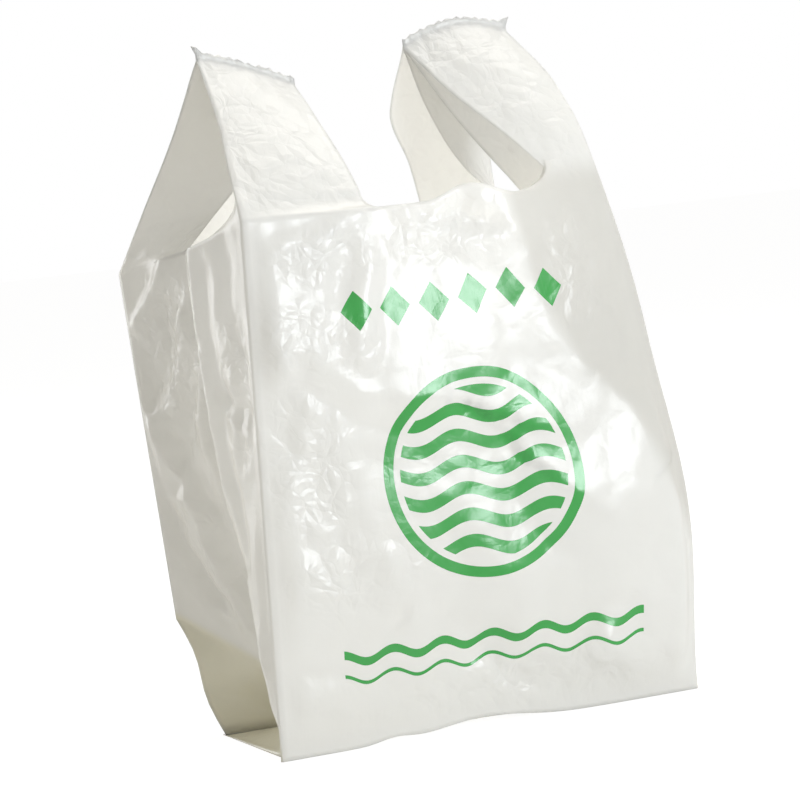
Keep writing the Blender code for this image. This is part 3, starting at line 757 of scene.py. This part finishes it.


# %% [markdown]
# Film is half see-through: it mirrors a little at its surface, scatters some
# light back and lets the rest glow through. A Principled shader gives the
# first two and a Translucent shader the third. Where several layers lie on
# each other and where the film lies in shade, shade is painted into its colour:
# grey, and olive at the gussets' foot. Shader maths is easier to read as
# Python, so a small class turns plus, minus and times into Math nodes.

# %% Shader maths as expressions
class Nodes:
    """The nodes of a material or world, with one method that adds any node."""

    def __init__(self, material):
        material.use_nodes = True
        self.tree = material.node_tree
        self.tree.nodes.clear()

    def node(self, kind, settings=None, sockets=None, out=0):
        """Add a node of a type: settings first, then its sockets' values or links."""
        made = self.tree.nodes.new("ShaderNode" + kind)
        for key, value in (settings or {}).items():
            setattr(made, key, value)
        for key, value in (sockets or {}).items():
            if isinstance(value, Signal):
                self.tree.links.new(value.socket, made.inputs[key])
            else:
                made.inputs[key].default_value = value
        return Signal(self, made.outputs[out]) if made.outputs else made

    def blend(self, share, first, second):
        """A colour a share of the way from the first colour to the second."""
        return self.node("Mix", {"data_type": "RGBA"}, {0: share, 6: first, 7: second}, out=2)


class Signal:
    """A socket that can be added, multiplied and compared like a number."""

    def __init__(self, nodes, socket):
        self.nodes = nodes
        self.socket = socket

    def output(self, name):
        """Another output of the same node."""
        return Signal(self.nodes, self.socket.node.outputs[name])

    def math(self, operation, *values):
        """Add a Math node for an operation on values."""
        return self.nodes.node("Math", {"operation": operation}, dict(enumerate(values)))

    def __add__(self, other):
        return self.math("ADD", self, other)

    def __sub__(self, other):
        return self.math("SUBTRACT", self, other)

    def __mul__(self, other):
        return self.math("MULTIPLY", self, other)

    def __truediv__(self, other):
        return self.math("DIVIDE", self, other)

    def __rsub__(self, other):
        return self.math("SUBTRACT", other, self)

    def __lt__(self, other):
        return self.math("LESS_THAN", self, other)

    def __gt__(self, other):
        return self.math("GREATER_THAN", self, other)

    def __abs__(self):
        return self.math("ABSOLUTE", self)

    __radd__ = __add__
    __rmul__ = __mul__

    def sin(self):
        """The sine of the value."""
        return self.math("SINE", self)

    def root(self):
        """The square root of the value."""
        return self.math("SQRT", self)

    def fraction(self):
        """What is left after the whole part is taken off."""
        return self.math("FRACT", self)

    def either(self, other):
        """The larger of two masks."""
        return self.math("MAXIMUM", self, other)


print("shader maths ready")

# %% [markdown]
# The print is one colour of ink, in simple shapes: a row of lozenges, a round
# badge of waves and two wavy lines. Each shape is a mask worked out from the
# place on the flat sheet, so the print bends and creases with the film. The
# same mask is used inside, where the ink shows through faintly.

# %% The printed pattern
INK = (0.024, 0.330, 0.046, 1.0)


def print_mask(u, v):
    """One where ink lies on the front panel and zero elsewhere."""
    on_front = (u > 0.012) * (u < PANEL_WIDTH - 0.012)
    step = ((u - 0.060) / 0.030).fraction() - 0.5
    lozenges = (abs(step) * 2.6 + abs(v - 0.285) / 0.013 < 1.0) * (u > 0.060) * (u < 0.240)
    across, up = u - 0.150, v - 0.170
    reach = (across * across + up * up).root()
    ring = (abs(reach - 0.066) < 0.0035)
    waves = ((up * 360.0 + (across * 110.0).sin() * 1.5).sin() > 0.05) * (reach < 0.058)
    low = abs(v - 0.060 - (u * 180.0).sin() * 0.003) < 0.0028
    lower = abs(v - 0.046 - (u * 180.0).sin() * 0.003) < 0.0012
    lines = low.either(lower) * (u > 0.045) * (u < 0.255)
    return lozenges.either(ring).either(waves).either(lines) * on_front


# %% Film material
CLEAR = (0.930, 0.935, 0.940, 1.0)
# Grey painted shade, for film in shade or with the tucked gusset behind it.
SHADE_TINT = (0.70, 0.695, 0.68, 1.0)
# Olive painted shade, for the many layers at the gussets' foot and under the bag.
FOOT_SHADE = (0.84, 0.81, 0.66, 1.0)
GLOW = (0.93, 0.918, 0.880, 1.0)
SHAKE = 0.012


def film_material(name, strength):
    """Translucent film with fine wrinkles and ink of a strength from 0 to 1."""
    material = bpy.data.materials.new(name)
    nodes = Nodes(material)
    flat_sheet = nodes.node("UVMap", {"uv_map": "flat_sheet"})
    split = nodes.node("SeparateXYZ", {}, {0: flat_sheet})
    u, v = split, split.output("Y")
    ink = print_mask(u, v) * strength
    place = nodes.node("TexCoord", out=3)
    cloud = nodes.node("TexNoise", {}, {"Vector": place, "Scale": 60.0, "Detail": 4.0})
    # Painted shade: the colour is darkened towards the grey shade tint where the shade mask is high, with a
    # little random clouding.
    held = nodes.node("Attribute", {"attribute_name": "painted_shade"}, out=2)
    pale = nodes.blend(held * 0.9 + cloud * 0.12, CLEAR, SHADE_TINT)
    # Painted shade: olive where the film lies stacked at the gussets' foot and under the bag.
    stack = nodes.node("Attribute", {"attribute_name": "stacked"}, out=2)
    pale = nodes.blend(stack, pale, FOOT_SHADE)
    colour = nodes.blend(ink * (cloud * 0.04 + 0.96), pale, INK)
    drawn = nodes.node("CombineXYZ", {}, {0: u * 520.0, 1: v * 14.0})
    streaks = nodes.node("TexNoise", {}, {"Vector": drawn, "Scale": 1.0, "Detail": 2.0})
    noise = nodes.node("TexNoise", {}, {"Vector": place, "Scale": 30.0, "Detail": 2.0}, out=1)
    span = {"Vector": noise, 9: (-SHAKE, -SHAKE, -SHAKE), 10: (SHAKE, SHAKE, SHAKE)}
    bent = nodes.node("MapRange", {"data_type": "FLOAT_VECTOR"}, span, out=1)
    shaken = nodes.node("VectorMath", {"operation": "ADD"}, {0: place, 1: bent})
    wide = nodes.node("TexVoronoi", {"feature": "DISTANCE_TO_EDGE"}, {"Vector": shaken, "Scale": 46.0})
    narrow = nodes.node("TexVoronoi", {"feature": "DISTANCE_TO_EDGE"}, {"Vector": shaken, "Scale": 115.0})
    mask = nodes.node("Attribute", {"attribute_name": "crumpled"}, out=2)
    height = (wide * 4.2 + narrow * 1.5) * mask + streaks * 0.05
    bump = nodes.node("Bump", {}, {"Strength": 1.0, "Distance": 0.001, "Height": height})
    glow = nodes.node("BsdfTranslucent", {}, {"Color": GLOW})
    looks = {"Base Color": colour, "Roughness": 0.22, "Normal": bump, "Specular IOR Level": 0.5}
    sheet = nodes.node("BsdfPrincipled", {}, looks)
    mixed = nodes.node("MixShader", {}, {0: (1.0 - ink) * (0.55 - stack * 0.15), 1: sheet, 2: glow})
    nodes.node("OutputMaterial", {}, {0: mixed})
    return material


bag.data.materials.append(film_material("printed_film", 1.0))
bag.data.materials.append(film_material("inside_of_film", 0.25))
print("materials on the film:", [m.name for m in bag.data.materials])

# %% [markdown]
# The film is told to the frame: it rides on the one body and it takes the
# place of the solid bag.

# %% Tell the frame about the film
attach(bag, "root")
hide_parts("bag")

# %% [markdown]
# The floor is wide and pale. What the camera sees of it is made nearly white,
# and only that: the light that it sends up to the bag is a plain floor's.


# %% Floor and world
def backdrop_material(name):
    """A floor that is bright to the camera but keeps the bag's shadow."""
    material = bpy.data.materials.new(name)
    nodes = Nodes(material)
    plain = nodes.node("BsdfDiffuse", {}, {"Color": (0.80, 0.80, 0.80, 1.0)})
    shine = nodes.node("Emission", {}, {"Color": (1.0, 1.0, 1.0, 1.0), "Strength": 1.29})
    camera_ray = nodes.node("LightPath")
    glossy_ray = camera_ray.output("Is Glossy Ray")
    passing_ray = camera_ray.output("Is Transmission Ray")
    seen = camera_ray.either(glossy_ray).either(passing_ray)
    mixed = nodes.node("MixShader", {}, {0: seen * 0.70, 1: plain, 2: shine})
    nodes.node("OutputMaterial", {}, {0: mixed})
    return material


FLOOR_HALF = 6.0
corners = FLOOR_HALF * np.array([[-1.0, -1.0, 0.0], [1.0, -1.0, 0.0], [1.0, 1.0, 0.0], [-1.0, 1.0, 0.0]])
floor = mesh_object("floor", corners, np.array([[0, 1, 2, 3]]))
floor.data.materials.append(backdrop_material("pale_floor"))

world = bpy.data.worlds.new("studio")
bpy.context.scene.world = world
sky = Nodes(world)
path = sky.node("LightPath")
backdrop = path.either(path.output("Is Glossy Ray")).either(path.output("Is Transmission Ray"))
ambient = sky.node("Background", {}, {"Color": (1.0, 0.980, 0.940, 1.0), "Strength": 0.35})
white = sky.node("Background", {}, {"Color": (1.0, 1.0, 1.0, 1.0), "Strength": 1.0})
sky.node("OutputWorld", {}, {0: sky.node("MixShader", {}, {0: backdrop, 1: ambient, 2: white})})
print("floor and world set")

# %% [markdown]
# One broad lamp at the front right lights the front panel and leaves the left
# side in soft shade, as the photograph does. Where a crease tips the film up,
# it mirrors that lamp. A weaker lamp fills from above, and a third from behind
# makes the film glow.


# %% Lamps
def area_lamp(name, place, aim, size, power, colour):
    """A square lamp at a place that points at another place."""
    data = bpy.data.lights.new(name, "AREA")
    data.size = size
    data.energy = power
    data.color = colour
    lamp = bpy.data.objects.new(name, data)
    lamp.location = place
    lamp.rotation_euler = (Vector(aim) - Vector(place)).to_track_quat("-Z", "Y").to_euler()
    bpy.context.scene.collection.objects.link(lamp)


area_lamp("key", (0.95, -2.35, 0.70), (0.0, 0.0, 0.22), 0.85, 39.0, (0.900, 0.950, 1.0))
area_lamp("top", (0.5, 0.3, 1.9), (0.0, 0.0, 0.2), 1.2, 20.0, (1.0, 0.975, 0.93))
area_lamp("rim", (-0.9, 2.2, 0.6), (0.0, 0.0, 0.2), 1.3, 16.0, (0.98, 0.99, 1.0))

# %% [markdown]
# The camera stands low at the front left with a long lens. The photograph is
# a little turned about the line of sight, so the camera is rolled to match.

# %% Camera
AZIMUTH = math.radians(-23.0)
ELEVATION = math.radians(5.5)
ROLL = math.radians(5.5)
DISTANCE = 2.4
LENS = 158.8
SENSOR = 36.0
level_right = Vector((math.cos(AZIMUTH), math.sin(AZIMUTH), 0.0))
flat_back = Vector((math.sin(AZIMUTH), -math.cos(AZIMUTH), 0.0)) * math.cos(ELEVATION)
back = flat_back + Vector((0.0, 0.0, math.sin(ELEVATION)))
level_up = back.cross(level_right)
right = level_right * math.cos(ROLL) - level_up * math.sin(ROLL)
up = level_up * math.cos(ROLL) + level_right * math.sin(ROLL)
aim = Vector((0.0, 0.0, 0.25)) - right * 0.0065 - up * 0.0374
camera_data = bpy.data.cameras.new("camera")
camera_data.lens = LENS
camera_data.sensor_width = SENSOR
camera = bpy.data.objects.new("camera", camera_data)
turn = Matrix((right, up, back)).transposed().to_4x4()
camera.matrix_world = Matrix.Translation(aim + back * DISTANCE) @ turn
bpy.context.scene.collection.objects.link(camera)
bpy.context.scene.camera = camera
bpy.context.scene.view_settings.view_transform = "Standard"
print("camera at", [round(c, 3) for c in camera.location])

# %% [markdown]
# Last, the scene is brought up to date.

# %% Finish
bpy.context.view_layer.update()
